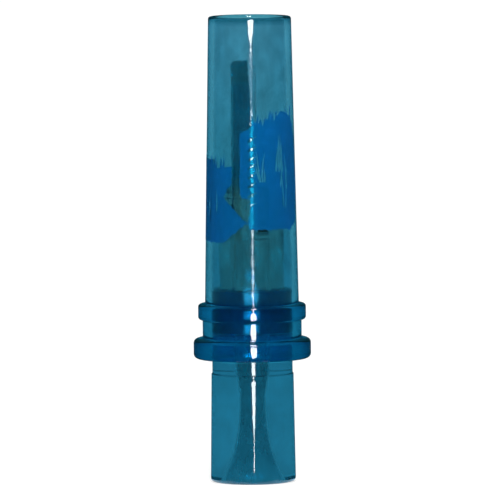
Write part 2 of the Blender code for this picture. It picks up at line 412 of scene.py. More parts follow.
def clear_plastic(
    name, tint, roughness, ior=1.49, depth=None, streaks=0.35, pebbled=None, frosted=(), bore=None
):
    """Polished clear moulded plastic: tinted, with handling scratches, smears and slow ripples.

    The tint is (height in mm, colour) stops up the piece, which also carry painted shade and
    painted light bands, and the roughness is its range. Depth is the (colour, density) of what
    the solid absorbs. Between the two heights of pebbled, in mm, the surface is worn into a fine
    pebble that breaks up a highlight. Each (foot, top, roughness) in frosted is a band of the
    piece with at least that roughness, and bore is a (radius, roughness) inside which the surface
    is the unpolished bore.
    """
    tree = Tree(name)
    plain(tree, Transmission_Weight=1.0, IOR=ior)
    cloud = tree.noise(260.0, detail=4.0, rough=0.6, stretch=(1, 1, 0.6))
    cloud = tree.ranged(cloud, 0.35, 0.65, 0.0, 1.0)
    deep, pale = [tree.up_piece(shaded(tint, share)) for share in CLOUD_SHARES]
    tree.join(tree.mixed(cloud, deep, pale), tree.shader.inputs["Base Color"])

    smears = tree.noise(140.0, detail=4.0, rough=0.6, stretch=(1, 1, 0.45))
    scratches = tree.noise(900.0, detail=2.0, rough=0.5, stretch=(1, 1, 0.04), turn=(0.25, 0.1, 0))
    low, high = roughness
    worn = tree.ranged(smears, 0.42, 0.72, low, high)
    bands = [(tree.between(foot, top, BAND_FADE), extra) for foot, top, extra in frosted]
    if bore is not None:
        radius, extra = bore
        bands.append((tree.maths("LESS_THAN", tree.from_axis(), mm(radius)), extra))
    for where, extra in bands:
        worn = tree.maths("MAXIMUM", worn, tree.maths("MULTIPLY", where, extra))
    fine = tree.ranged(scratches, 0.60, 0.74, 0.0, streaks * high)
    tree.join(tree.maths("ADD", worn, fine), tree.shader.inputs["Roughness"])

    ripple = tree.noise(42.0, detail=0.0, rough=0.5, stretch=(1, 1, 0.35))
    surface = tree.bump(ripple, mm(0.12), 0.5)
    if pebbled is not None:
        pebbles = tree.noise(PEBBLE_SCALE, detail=2.0, rough=0.5)
        pebbles = tree.maths("MULTIPLY", pebbles, tree.between(*pebbled))
        surface = tree.bump(pebbles, mm(0.035), 1.0, surface)
    surface = tree.bump(scratches, mm(0.004), 0.35, surface)
    tree.join(surface, tree.shader.inputs["Normal"])

    if depth is not None:
        colour, density = depth
        solid = tree.add("VolumeAbsorption")
        solid.inputs["Color"].default_value = (*colour, 1.0)
        solid.inputs["Density"].default_value = density
        tree.join(solid.outputs[0], tree.output.inputs["Volume"])
    return tree.material


def ink(name, colour, gleam):
    """Half-clear screen-print ink: uneven cover and a coloured gleam."""
    tree = Tree(name)
    plain(tree, Transmission_Weight=0.75, IOR=1.45, Specular_Tint=gleam)
    cover = tree.noise(520.0, rough=0.6)
    thin = tuple(min(1.0, c * 1.25 + 0.004) for c in colour)
    shade = tree.mixed(tree.ranged(cover, 0.5, 0.75, 0.0, 1.0), colour, thin)
    tree.join(shade, tree.shader.inputs["Base Color"])
    gloss = tree.ranged(tree.noise(500.0), 0.3, 0.7, 0.12, 0.2)
    tree.join(gloss, tree.shader.inputs["Roughness"])
    pebble = tree.bump(tree.noise(PEBBLE_SCALE, detail=2.0, rough=0.5), mm(0.03), 1.0)
    tree.join(tree.bump(cover, mm(0.012), 0.4, pebble), tree.shader.inputs["Normal"])
    return tree.material


def film(name, tint):
    """Clear polyester film with fine sanding marks along it."""
    tree = Tree(name)
    plain(tree, Base_Color=tint, Transmission_Weight=0.92, IOR=1.6)
    marks = tree.noise(2600.0, rough=0.6, stretch=(1, 1, 0.03))
    tree.join(tree.ranged(marks, 0.35, 0.7, 0.06, 0.32), tree.shader.inputs["Roughness"])
    tree.join(tree.bump(marks, mm(0.006), 0.5), tree.shader.inputs["Normal"])
    return tree.material


CORK_COLOURS = [(0.42, 0.24, 0.12), (0.63, 0.42, 0.24), (0.20, 0.10, 0.05), (0.06, 0.03, 0.015)]


def cork(name):
    """Natural cork: warm tan, lenticels and darker grains, with a cut surface."""
    tree = Tree(name)
    grains = tree.add("TexVoronoi", feature="F1")
    grains.inputs["Scale"].default_value = 1500.0
    tree.join(tree.point(), grains.inputs["Vector"])
    grain = grains.outputs["Distance"]
    blotch = tree.noise(420.0, detail=5.0, rough=0.65)
    pits = tree.noise(1900.0, detail=2.0, rough=0.5, stretch=(1, 1, 0.5))
    brown, tan, grain_brown, pit_brown = CORK_COLOURS
    shade = tree.mixed(tree.ranged(blotch, 0.35, 0.65, 0.0, 1.0), brown, tan)
    shade = tree.mixed(tree.ranged(grain, 0.0, 0.6, 0.55, 0.0), shade, grain_brown)
    shade = tree.mixed(tree.ranged(pits, 0.64, 0.72, 0.0, 1.0), shade, pit_brown)
    tree.join(shade, tree.shader.inputs["Base Color"])
    tree.join(tree.ranged(blotch, 0.3, 0.7, 0.75, 0.95), tree.shader.inputs["Roughness"])
    rough = tree.bump(grain, mm(0.12), 0.6)
    tree.join(tree.bump(pits, mm(0.15), 0.6, rough), tree.shader.inputs["Normal"])
    return tree.material


# ---------------------------------------------------------------- pieces


def finish_piece(piece, material, body, node, inner=None, is_inner=None):
    """Gives a piece its look and body, and hides its CAD part. Faces that is_inner picks get the
    inner look.
    """
    piece.data.materials.clear()
    piece.data.materials.append(material)
    if inner is not None:
        piece.data.materials.append(inner)
        for face in piece.data.polygons:
            face.material_index = int(is_inner(face.center / mm(1)))
    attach(piece, body)
    if node is not None:
        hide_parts(node)


def barrel_outline():
    """The barrel's turned outline, denser than the CAD's and with the same sizes."""
    socket = PLUG_RADIUS + FIT_GAP
    corners = [
        (MOUTH_BORE_RADIUS, LENGTH, 0.7),
        (MOUTH_RADIUS, LENGTH, 0.7),
        (TUBE_FOOT_RADIUS, UPPER_FLANGE_TOP, 0.3),
        (UPPER_FLANGE_RADIUS, UPPER_FLANGE_TOP, 0.8),
        (UPPER_FLANGE_RADIUS, UPPER_FLANGE_BOTTOM, 0.8),
        (GROOVE_RADIUS, UPPER_FLANGE_BOTTOM, 0.3),
        (GROOVE_RADIUS, LOWER_FLANGE_TOP, 0.3),
        (LOWER_FLANGE_RADIUS, LOWER_FLANGE_TOP, 1.3),
        (LOWER_FLANGE_RADIUS, BARREL_BOTTOM, 1.3),
        (socket + 0.3, BARREL_BOTTOM, 0.1),
        (socket, BARREL_BOTTOM + 0.3, 0.1),
        (socket, SOCKET_TOP, 1.5),
    ]
    return filled(rounded(corners), LONGEST_EDGE)


def tube_radius(height):
    """Outer radius of the barrel's tube at a height."""
    share = (height - UPPER_FLANGE_TOP) / (LENGTH - UPPER_FLANGE_TOP)
    return TUBE_FOOT_RADIUS + (MOUTH_RADIUS - TUBE_FOOT_RADIUS) * share


def flare(height):
    """Radius of the bell's bore at a height up to the throat."""
    share = 1 - height / THROAT_HEIGHT
    return THROAT_RADIUS + (BELL_MOUTH_RADIUS - THROAT_RADIUS) * share**FLARE_POWER


def stopper_outline():
    """The stopper's turned outline: plug, shoulder, bell, flared bore and the neck's socket."""
    socket = NECK_RADIUS + FIT_GAP
    outer = [
        (socket, PLUG_TOP),
        (PLUG_RADIUS - 0.5, PLUG_TOP),
        (PLUG_RADIUS - 0.12, PLUG_TOP - 0.15),
        (PLUG_RADIUS, PLUG_TOP - 0.5),
        (PLUG_RADIUS, SHOULDER_HEIGHT + 0.03),
        (PLUG_RADIUS + 0.03, SHOULDER_HEIGHT),
        (PLUG_RADIUS + SHOULDER_STEP - 0.03, SHOULDER_HEIGHT - 0.16),
        (PLUG_RADIUS + SHOULDER_STEP, SHOULDER_HEIGHT - SHOULDER_STEP),
    ]
    foot = arc((BELL_RADIUS - 0.9, 0.9), 0.9, 0, -90)
    bore = [(flare(z), z) for z in np.linspace(0, THROAT_HEIGHT, 33)]
    lip = [(bore[0][0] + 0.25, 0.0), (bore[0][0] + 0.06, 0.07)]
    top = [
        (SHOULDER_BORE_RADIUS, SHOULDER_HEIGHT),
        (SOCKET_BORE_RADIUS, NECK_SOCKET_FLOOR),
        (socket, NECK_SOCKET_FLOOR),
    ]
    return filled(outer + foot + lip + bore[1:] + top, LONGEST_EDGE)


def lay(height):
    """X of the board's reed bed at a height: flat at the neck, curving away to the tip."""
    share = max(0.0, (height - NECK_TOP) / (BOARD_TIP - NECK_TOP))
    return BED_X - LAY_DROP * share**2


def board_mesh():
    """The tone board: turned, then cut flat on the reed side, notched, bored and channelled."""
    neck_foot = NECK_SOCKET_FLOOR + FIT_GAP
    tip = arc((BOARD_RADIUS - 1.6, BOARD_TIP - 1.6), 1.6, 90, 0)
    collar = arc((COLLAR_RADIUS - 0.8, COLLAR_TOP - 0.8), 0.8, 90, 0)
    rest = [
        (COLLAR_RADIUS, NECK_TOP),
        (NECK_RADIUS - 0.5, NECK_TOP),
        (NECK_RADIUS - 0.12, NECK_TOP - 0.15),
        (NECK_RADIUS, NECK_TOP - 0.5),
        (NECK_RADIUS, neck_foot),
        (0.0, neck_foot),
    ]
    outline = [(0.0, BOARD_TIP), *tip, (BOARD_RADIUS, COLLAR_TOP), *collar, *rest]
    base = lathe_mesh("tone_board", outline, BOARD_STEPS, closed=False)
    wide = 2 * NECK_RADIUS
    rises = list(np.linspace(NECK_TOP, BOARD_TIP + 3, 40))
    side = [(lay(z), z) for z in rises]
    side += [
        (wide, rises[-1]),
        (wide, NECK_TOP),
        (NOTCH_ROOF_X + NOTCH_ROOF_OPENING, NECK_TOP),
        (NOTCH_ROOF_X, NOTCH_FLOOR),
        (BED_X, NOTCH_FLOOR),
    ]
    reed_side = slab_mesh("cut", side, -wide, wide, upright_xz)
    neck_bore = rod_mesh("cut", NECK_BORE_RADIUS, neck_foot - 1, NECK_BORE_TOP, 0.0)
    channel = rod_mesh("cut", CHANNEL_RADIUS, CHANNEL_BOTTOM, CHANNEL_END, CHANNEL_X)
    mouth = [(-CHANNEL_RADIUS, CHANNEL_OPEN_FROM), (CHANNEL_RADIUS, CHANNEL_OPEN_FROM)]
    mouth += [(CHANNEL_RADIUS, CHANNEL_END), (-CHANNEL_RADIUS, CHANNEL_END)]
    mouth = slab_mesh("cut", mouth, CHANNEL_X, BED_X + 1, upright_yz)
    return cut(base, [reed_side, neck_bore, channel, mouth], 0.12)


REED_FOOT_CORNER = 0.3
REED_CORNER_STEPS = 12
REED_EDGE = 0.8
DIMPLE_RINGS = 6
DIMPLE_STEPS = 24


def reed_mesh(name, shape, under_x):
    """A reed as a fine grid, so that the dimple is really pressed into it."""
    half = shape["width"] / 2
    corners = [
        (-half, REED_BOTTOM, REED_FOOT_CORNER),
        (half, REED_BOTTOM, REED_FOOT_CORNER),
        (half, shape["tip"], shape["corner"]),
        (-half, shape["tip"], shape["corner"]),
    ]
    outline = filled(rounded(corners, REED_CORNER_STEPS), REED_EDGE)
    inner = []
    if shape["dimple"]:
        for ring in np.linspace(0, DIMPLE_RADIUS, DIMPLE_RINGS + 1)[1:]:
            for i in range(DIMPLE_STEPS):
                a = 2 * math.pi * i / DIMPLE_STEPS
                inner.append((ring * math.cos(a), DIMPLE_HEIGHT + ring * math.sin(a)))
        inner.append((0.0, DIMPLE_HEIGHT))
    points = [Vector(p) for p in outline + inner]
    edges = [(i, (i + 1) % len(outline)) for i in range(len(outline))]
    flat, _, faces, *_ = delaunay_2d_cdt(points, edges, [list(range(len(outline)))], 1, 1e-6)

    def pressed(y, z, side):
        away = math.hypot(y, z - DIMPLE_HEIGHT) / DIMPLE_RADIUS
        sunk = shape["dimple"] * (1 - away**2) ** 2 if away < 1 else 0.0
        return upright_yz(y, z, under_x - sunk + side * shape["thickness"])

    return shell_mesh(name, flat, faces, pressed)


def shell_mesh(name, flat, faces, place):
    """A closed shell from flat triangles: place(u, v, side) with side 0 under and 1 on top."""
    made = bmesh.new()
    layers = [[made.verts.new(place(p.x, p.y, side)) for p in flat] for side in (0, 1)]
    count = {}
    for face in faces:
        for layer in layers:
            made.faces.new([layer[i] for i in face])
        for i, j in zip(face, (*face[1:], face[0])):
            key = (min(i, j), max(i, j))
            count.setdefault(key, []).append((i, j))
    for uses in count.values():
        if len(uses) == 1:
            i, j = uses[0]
            made.faces.new((layers[0][i], layers[0][j], layers[1][j], layers[1][i]))
    loose = [v for v in made.verts if not v.link_faces]
    bmesh.ops.delete(made, geom=loose, context="VERTS")
    return finished_mesh(made, name)


WEDGE_BOTTOM = NOTCH_FLOOR + 0.4
WEDGE_FOOT_CORNER = 0.15
WEDGE_TOP_CORNER = 0.5
WEDGE_CORNER_STEPS = 4
WEDGE_EDGE = 0.3
WEDGE_EASE = 0.12
WEDGE_EASE_OVER = 0.15
WEDGE_ROWS = 32


def wedge_mesh(under_x):
    """The cork wedge, as a fine grid with its edges eased."""
    roof = NOTCH_ROOF_X - REED_GAP
    rise = (WEDGE_TOP - NOTCH_FLOOR) / (NECK_TOP - NOTCH_FLOOR)
    corners = [
        (under_x, WEDGE_BOTTOM, WEDGE_FOOT_CORNER),
        (roof, WEDGE_BOTTOM, WEDGE_FOOT_CORNER),
        (roof + NOTCH_ROOF_OPENING * rise, WEDGE_TOP, WEDGE_TOP_CORNER),
        (under_x, WEDGE_TOP, WEDGE_TOP_CORNER),
    ]
    outline = filled(rounded(corners, WEDGE_CORNER_STEPS), WEDGE_EDGE)
    half = WEDGE_WIDTH / 2
    made = bmesh.new()
    rows = []
    inner = half - WEDGE_EASE_OVER
    levels = [-half, *np.linspace(-inner, inner, WEDGE_ROWS), half]
    centre = Vector((sum(p[0] for p in outline), sum(p[1] for p in outline))) / len(outline)
    for level in levels:
        ease = WEDGE_EASE if abs(level) == half else 0.0
        row = []
        for x, z in outline:
            inward = (centre - Vector((x, z))).normalized() * ease
            row.append(made.verts.new(upright_xz(x + inward.x, z + inward.y, level)))
        rows.append(row)
    for first, second in zip(rows, rows[1:]):
        for i in range(len(outline)):
            j = (i + 1) % len(outline)
            made.faces.new((first[i], first[j], second[j], second[i]))
    made.faces.new(rows[0])
    made.faces.new(rows[-1])
    return finished_mesh(made, "reed_wedge")


# ---------------------------------------------------------------- print on the barrel


BLADE_STEPS = 12
BLADE_TIP = 0.03
BLADE_TAPER = 2.2


def blade(foot, tip, width, lean):
    """A grass blade's outline: from a foot, bending sideways to a pointed tip."""
    foot, tip = Vector(foot), Vector(tip)
    bend = (foot + tip) / 2 + Vector((lean, 0))
    left, right = [], []
    for i in range(BLADE_STEPS + 1):
        t = i / BLADE_STEPS
        point = foot * (1 - t) ** 2 + bend * 2 * t * (1 - t) + tip * t**2
        slope = ((bend - foot) * (1 - t) + (tip - bend) * t).normalized()
        across = Vector((slope.y, -slope.x)) * (width / 2 * (1 - t**BLADE_TAPER) + BLADE_TIP)
        left.append(point + across)
        right.append(point - across)
    return [tuple(p) for p in left + right[::-1]]


def inside(outline, points):
    """Which of the points lie inside the outline."""
    x, y = points[:, 0], points[:, 1]
    hit = np.zeros(len(points), bool)
    for (ax, ay), (bx, by) in zip(outline, outline[1:] + outline[:1]):
        if ay == by:
            continue
        spans = (ay > y) != (by > y)
        hit ^= spans & (x < (bx - ax) * (y - ay) / (by - ay) + ax)
    return hit


# Outlines in millimetres: round the barrel from its front, to the right, and up it.
MARSH_RIGHT = [
    (-1.1, 71.3), (-0.4, 69.7), (12.5, 69.4), (15.5, 71.5), (17.5, 80.0), (16.5, 92.0),
    (14.5, 99.0), (11.5, 101.0), (9.3, 101.6), (6.8, 98.8), (4.4, 99.6), (2.8, 96.8),
    (0.5, 97.6), (-1.5, 96.6), (-3.0, 96.0), (-3.2, 79.5), (-2.6, 78.3), (-0.2, 77.9),
    (-0.4, 74.0),
]
MARSH_LEFT = [
    (-22.5, 67.4), (-18.0, 66.2), (-10.5, 65.9), (-7.4, 66.3), (-4.5, 68.8), (-1.2, 71.3),
    (-3.4, 73.6), (-5.6, 76.0), (-8.0, 78.4), (-6.8, 80.6), (-5.6, 82.0), (-5.2, 84.5),
    (-5.5, 87.0), (-9.0, 86.2), (-12.5, 86.4), (-14.2, 88.0), (-18.0, 88.4), (-22.5, 86.5),
]
RIGHT_GRASS = {"count": 26, "across": (0.5, 14.5), "sway": 1.2, "widths": (0.5, 1.1), "lean": 0.6}
RIGHT_GRASS_FOOT = 94.0
RIGHT_GRASS_TOP = 98.5
RIGHT_GRASS_RISE = 0.25
RIGHT_GRASS_RISE_TO = 11.0
RIGHT_GRASS_SPREAD = (0.0, 2.2)
LEFT_GRASS = {"count": 24, "across": (-21.0, -7.0), "sway": 1.0, "widths": (0.5, 1.0), "lean": 0.6}
LEFT_GRASS_FOOT = 83.0
LEFT_GRASS_TOPS = (86.5, 90.0)
RIGHT_REEDS = {"count": 12, "across": (2.5, 11.5), "sway": 1.4, "widths": (0.3, 0.55), "lean": 0.8}
RIGHT_REEDS_UP = {"tops": (86.0, 96.0), "lengths": (7.0, 12.0)}
LEFT_REEDS = {"count": 7, "across": (-19.0, -9.0), "sway": 1.0, "widths": (0.3, 0.5), "lean": 0.6}
LEFT_REEDS_UP = {"tops": (76.0, 84.0), "lengths": (5.0, 8.0)}
WEDGE_CLEARED = 82.5
WEDGE_REACH = 6.0
STROKES = 8
STROKE_FOOT = (-0.8, 76.0)
STROKE_TIP_X = 1.7
STROKE_SPACING = 2.5
STROKE_RISES = (0.8, 2.0)
STROKE_WIDTHS = (0.4, 0.6)
RAGGED_EVERY = 0.7
RAGGED_SWING = 0.22
RAGGED_SEEDS = (5, 9)
PRINT_SEED = 11


def ragged(corners, seed):
    """A polygon with small uneven notches along its edges."""
    draw = random.Random(seed)
    outline = []
    for x, y in filled(corners, RAGGED_EVERY):
        x += draw.uniform(-RAGGED_SWING, RAGGED_SWING)
        y += draw.uniform(-RAGGED_SWING, RAGGED_SWING)
        outline.append((x, y))
    return outline


def stalk(draw, tuft, x, bottom, top):
    """One blade of a tuft: its tip's place, its width and its bend are drawn at random."""
    sway, lean = tuft["sway"], tuft["lean"]
    tip = (x + draw.uniform(-sway, sway), top)
    return blade((x, bottom), tip, draw.uniform(*tuft["widths"]), draw.uniform(-lean, lean))


def inked_shapes(draw):
    """The two patches of marsh, with grass blades along their upper edges."""
    shapes = [ragged(patch, seed) for patch, seed in zip((MARSH_RIGHT, MARSH_LEFT), RAGGED_SEEDS)]
    for _ in range(RIGHT_GRASS["count"]):
        foot = draw.uniform(*RIGHT_GRASS["across"])
        top = RIGHT_GRASS_TOP + RIGHT_GRASS_RISE * min(foot, RIGHT_GRASS_RISE_TO)
        top += draw.uniform(*RIGHT_GRASS_SPREAD)
        shapes.append(stalk(draw, RIGHT_GRASS, foot, RIGHT_GRASS_FOOT, top))
    for _ in range(LEFT_GRASS["count"]):
        sway, lean = LEFT_GRASS["sway"], LEFT_GRASS["lean"]
        foot = draw.uniform(*LEFT_GRASS["across"])
        tip = (foot + draw.uniform(-sway, sway), draw.uniform(*LEFT_GRASS_TOPS))
        width = draw.uniform(*LEFT_GRASS["widths"])
        shapes.append(blade((foot, LEFT_GRASS_FOOT), tip, width, draw.uniform(-lean, lean)))
    return shapes


def clear_reeds(draw, tuft, up):
    """Clear reeds in the ink. Those over the cork wedge stay above it, so it can't show through."""
    shapes = []
    for _ in range(tuft["count"]):
        foot = draw.uniform(*tuft["across"])
        top = draw.uniform(*up["tops"])
        bottom = top - draw.uniform(*up["lengths"])
        if abs(foot) < WEDGE_REACH:
            bottom = max(bottom, WEDGE_CLEARED)
        shapes.append(stalk(draw, tuft, foot, bottom, top))
    return shapes


def clear_strokes(draw):
    """Short clear strokes one above the other, across the long highlight."""
    shapes = []
    x, lowest = STROKE_FOOT
    for i in range(STROKES):
        height = lowest + STROKE_SPACING * i
        tip = (STROKE_TIP_X, height + draw.uniform(*STROKE_RISES))
        shapes.append(blade((x, height), tip, draw.uniform(*STROKE_WIDTHS), 0.0))
    return shapes


INK_LIFT = 0.02
INK_THICKNESS = 0.03
WRAP_RADIUS = 12.2
PRINT_EDGE = 0.9
GRID_ACROSS = 1.0
GRID_UP = 1.5
GRID_SHIFT = (0.013, 0.017)


def print_mesh():
    """The marsh scene as a thin skin wrapped round the tube, its clear reeds left open."""
    draw = random.Random(PRINT_SEED)
    inked = inked_shapes(draw)
    clear = clear_reeds(draw, RIGHT_REEDS, RIGHT_REEDS_UP)
    clear += clear_strokes(draw)
    clear += clear_reeds(draw, LEFT_REEDS, LEFT_REEDS_UP)
    points, edges = [], []
    for outline in inked + clear:
        outline = filled(outline, PRINT_EDGE)
        start = len(points)
        points += outline
        edges += [(start + i, start + (i + 1) % len(outline)) for i in range(len(outline))]
    spread = np.array(points)
    low, high = spread.min(0), spread.max(0)
    across = np.arange(low[0], high[0], GRID_ACROSS)
    up = np.arange(low[1], high[1], GRID_UP)
    shift_x, shift_y = GRID_SHIFT
    points += [(x + shift_x, y + shift_y) for x in across for y in up]
    flat, _, faces, *_ = delaunay_2d_cdt([Vector(p) for p in points], edges, [], 0, 1e-5)
    corners = np.array([[tuple(flat[i]) for i in face] for face in faces])
    middles = corners.mean(1)
    shown = np.zeros(len(faces), bool)
    for outline in inked:
        shown |= inside(outline, middles)
    for outline in clear:
        shown &= ~inside(outline, middles)
    faces = [face for face, keep in zip(faces, shown) if keep]

    def wrapped(u, v, side):
        radius = tube_radius(v) + INK_LIFT + INK_THICKNESS * side
        angle = u / WRAP_RADIUS - math.pi / 2
        return (mm(radius * math.cos(angle)), mm(radius * math.sin(angle)), mm(v))

    return shell_mesh("barrel_print", flat, faces, wrapped)


# ---------------------------------------------------------------- build

# Colours up each piece, as (height in mm, colour) stops: each piece's tint, with painted shade and
# painted light bands laid into it where noted.
BARREL_TINT_AND_PAINTED_SHADE = [
    (33.7, (0.10, 0.78, 0.93)),
    (37.6, (0.10, 0.78, 0.93)),
    # painted shade: a dark line along the lower flange's top rounding
    (38.2, (0.08, 0.55, 0.76)),
    (39.2, (0.08, 0.55, 0.76)),
    # painted shade: the groove between the flanges is darker
    (39.6, (0.11, 0.45, 0.575)),
    (44.0, (0.11, 0.45, 0.575)),
    (44.6, (0.10, 0.55, 0.72)),
    (47.0, (0.10, 0.55, 0.72)),
    # painted shade: a dark line along the upper flange's top
    (47.4, (0.08, 0.45, 0.62)),
    (48.6, (0.08, 0.45, 0.62)),
    (50.0, (0.20, 0.49, 0.58)),
    (60.0, (0.20, 0.48, 0.565)),
    (85.0, (0.29, 0.562, 0.628)),
    (124.7, (0.437, 0.616, 0.679)),
    # painted shade: a dark band round the lip
    (125.4, (0.29, 0.49, 0.56)),
    (126.3, (0.10, 0.34, 0.40)),
    (127.0, (0.10, 0.34, 0.40)),
]
BARREL_DEPTH = ((0.048, 0.62, 0.742), 480.0)
STOPPER_TINT_AND_PAINTED_LIGHT = [
    (0.0, (0.011, 0.138, 0.232)),
    (29.42, (0.010, 0.136, 0.232)),
    # painted shade: a thin dark ring at the shoulder step
    (29.50, (0.003, 0.050, 0.095)),
    (29.72, (0.003, 0.050, 0.095)),
    (29.80, (0.010, 0.132, 0.232)),
    (33.05, (0.009, 0.130, 0.228)),
    (33.25, (0.02, 0.47, 0.67)),
    (39.4, (0.02, 0.47, 0.67)),
    # painted light: a lighter band on the plug behind the barrel's groove
    (39.8, (0.02, 0.59, 0.83)),
    (44.0, (0.02, 0.59, 0.83)),
    (44.4, (0.02, 0.50, 0.72)),
    (52.8, (0.02, 0.50, 0.72)),
]
# The bore's tint darkens deeper into the bell and on the socket walls: painted shade in the hollows.
STOPPER_BORE = [
    (0.0, (0.56, 0.72, 0.74)),
    (6.0, (0.50, 0.64, 0.66)),
    (18.0, (0.44, 0.56, 0.57)),
    (32.8, (0.42, 0.50, 0.50)),
    (33.4, (0.95, 1.0, 1.0)),
    (40.6, (0.95, 1.0, 1.0)),
    (41.0, (0.46, 0.58, 0.66)),
    (53.0, (0.46, 0.58, 0.66)),
]
BOARD_TINT_AND_PAINTED_SHADE = [
    (40.0, (0.22, 0.58, 0.74)),
    (52.5, (0.22, 0.58, 0.74)),
    (52.7, (0.84, 0.64, 0.55)),
    (78.0, (0.84, 0.64, 0.55)),
    # painted shade: the board's face is deep teal, darker still from the channel's end to the tip;
    # the warm smoke of the neck is the board's own colour.
    (84.0, (0.008, 0.46, 0.54)),
    (108.5, (0.005, 0.45, 0.53)),
    (109.0, (0.02, 0.20, 0.23)),
    (115.0, (0.02, 0.20, 0.23)),
]
BOARD_BORE = [(40.0, (1.0, 1.0, 1.0)), (115.0, (1.0, 1.0, 1.0))]
SOCKET_BORE_OVER = 11.2
PRINT_INK = (0.002, 0.135, 0.375)
INK_GLEAM = (0.02, 0.80, 1.0)
FILM = (0.82, 0.88, 0.90)

INTO_BORE = 0.05
ROUND_BORE = 0.02
STOPPER_BORE_REACH = 9.4


def build_barrel():
    """The barrel's tube and flanges."""
    look = clear_plastic(
        "barrel_plastic",
        BARREL_TINT_AND_PAINTED_SHADE,
        (0.02, 0.07),
        depth=BARREL_DEPTH,
        pebbled=(53.0, 116.0),
        bore=(SOCKET_BORE_OVER, 0.08),
    )
    barrel = mesh_piece("barrel_shell", lathe_mesh("barrel_shell", barrel_outline()))
    finish_piece(barrel, look, "barrel", "barrel")


def in_stopper_bore(point):
    """Whether a face centre, in millimetres, is on the stopper's bore or its neck socket."""
    in_height = INTO_BORE < point.z < PLUG_TOP - INTO_BORE
    return math.hypot(point.x, point.y) < STOPPER_BORE_REACH and in_height


def build_stopper():
    """The stopper, with a different look on its bore."""
    frosted = [(33.4, 41.0, 0.2), (41.0, 53.0, 0.36)]
    look = clear_plastic("stopper_plastic", STOPPER_TINT_AND_PAINTED_LIGHT, (0.02, 0.06), frosted=frosted)
    bore = clear_plastic("stopper_bore", STOPPER_BORE, (0.24, 0.34), ior=1.1, streaks=0.1)
    stopper = mesh_piece("stopper_body", lathe_mesh("stopper_body", stopper_outline()))
    node, slot = "exhaust_stopper", "stopper_plastic"
    finish_piece(stopper, look, "insert", node, bore, in_stopper_bore)


def in_board_bore(point):
    """Whether a face centre, in millimetres, is on the board's neck bore or its closed channel."""
    from_axis = math.hypot(point.x, point.y)
    from_channel = math.hypot(point.x - CHANNEL_X, point.y)
    neck_floor = NECK_SOCKET_FLOOR + FIT_GAP + INTO_BORE
    in_neck = from_axis < NECK_BORE_RADIUS + ROUND_BORE
    in_neck = in_neck and neck_floor < point.z < NECK_BORE_TOP - INTO_BORE
    in_channel = from_channel < CHANNEL_RADIUS + ROUND_BORE
    return in_neck or (in_channel and NECK_BORE_TOP < point.z < NECK_TOP)


def build_board():
    """The tone board, with a different look on its bores."""
    look = clear_plastic("tone_board_plastic", BOARD_TINT_AND_PAINTED_SHADE, (0.04, 0.12))
    bore = clear_plastic("tone_board_bore", BOARD_BORE, (0.02, 0.05), ior=1.12)
    board = mesh_piece("tone_board_body", board_mesh())
    node, slot = "tone_board", "tone_board_plastic"
    finish_piece(board, look, "insert", node, bore, in_board_bore)


def build_reeds_and_wedge():
    """The two film reeds and the cork wedge, one gap apart above the board's bed."""
    look = film("reed_film", FILM)
    lower_x = BED_X + REED_GAP
    upper_x = lower_x + LOWER_REED["thickness"] + REED_GAP
    wedge_x = upper_x + UPPER_REED["thickness"] + REED_GAP
    reeds = [("lower_reed", LOWER_REED, lower_x), ("upper_reed", UPPER_REED, upper_x)]
    for reed, shape, under_x in reeds:
        name = reed + "_film"
        piece = mesh_piece(name, reed_mesh(name, shape, under_x))
        finish_piece(piece, look, reed, reed)
    wedge = mesh_piece("cork_wedge", wedge_mesh(wedge_x))
    finish_piece(wedge, cork("cork"), "insert", "reed_wedge")


def build_print():
    """The generic marsh print on the front of the barrel."""
    printed = mesh_piece("barrel_print", print_mesh())
    look = ink("print_ink", PRINT_INK, INK_GLEAM)
    finish_piece(printed, look, "barrel", None)


# ---------------------------------------------------------------- stage, light and camera


# Places and halves here are in metres. The lights' heights and the strip's widths are in mm.
BLACK = (0.0, 0.0, 0.0)
WHITE = (1.0, 1.0, 1.0)
TABLE_GREY = (0.5, 0.5, 0.5)
TABLE_GLOW = 0.53
TABLE_HALF = 6.0
TABLE_HEIGHT = -0.0001
PAD_HALF = 0.013
PAD_HEIGHT = -0.00006


def stage_mesh(name, points, faces):
    """An object of the stage from its points and faces, with a material tree of its own name."""
    mesh = bpy.data.meshes.new(name)
    mesh.from_pydata(points, [], faces)
    obj = link(bpy.data.objects.new(name, mesh))
    tree = Tree(name)
    mesh.materials.append(tree.material)
    return obj, tree


def floor(name, half, height, mirrored):
    """A square of pale lit table. The wide one isn't mirrored, so the glossy sides stay deep."""
    corners = [(-half, -half, 0), (half, -half, 0), (half, half, 0), (-half, half, 0)]
    obj, tree = stage_mesh(name, corners, [(0, 1, 2, 3)])
    obj.location.z = height
    plain(tree, Base_Color=TABLE_GREY, Roughness=0.9, Specular_IOR_Level=0.1)
    plain(tree, Emission_Color=WHITE, Emission_Strength=TABLE_GLOW)
    obj.visible_glossy = mirrored


STRIP_PLACE = (0.0075, -0.16)
STRIP_WIDTHS = [
    (-8.0, 6.0), (-2.0, 4.5), (2.5, 6.5), (8.0, 20.0), (26.0, 34.0), (38.0, 30.0), (42.0, 8.0),
    (44.0, 3.0), (50.0, 4.0), (56.0, 6.0), (71.0, 6.0), (76.0, 7.0), (79.0, 15.0), (91.0, 15.0),
    (95.0, 2.3), (116.5, 2.3), (121.0, 38.0), (150.0, 42.0), (300.0, 42.0),
]
STRIP_RADIANCE = 24.0


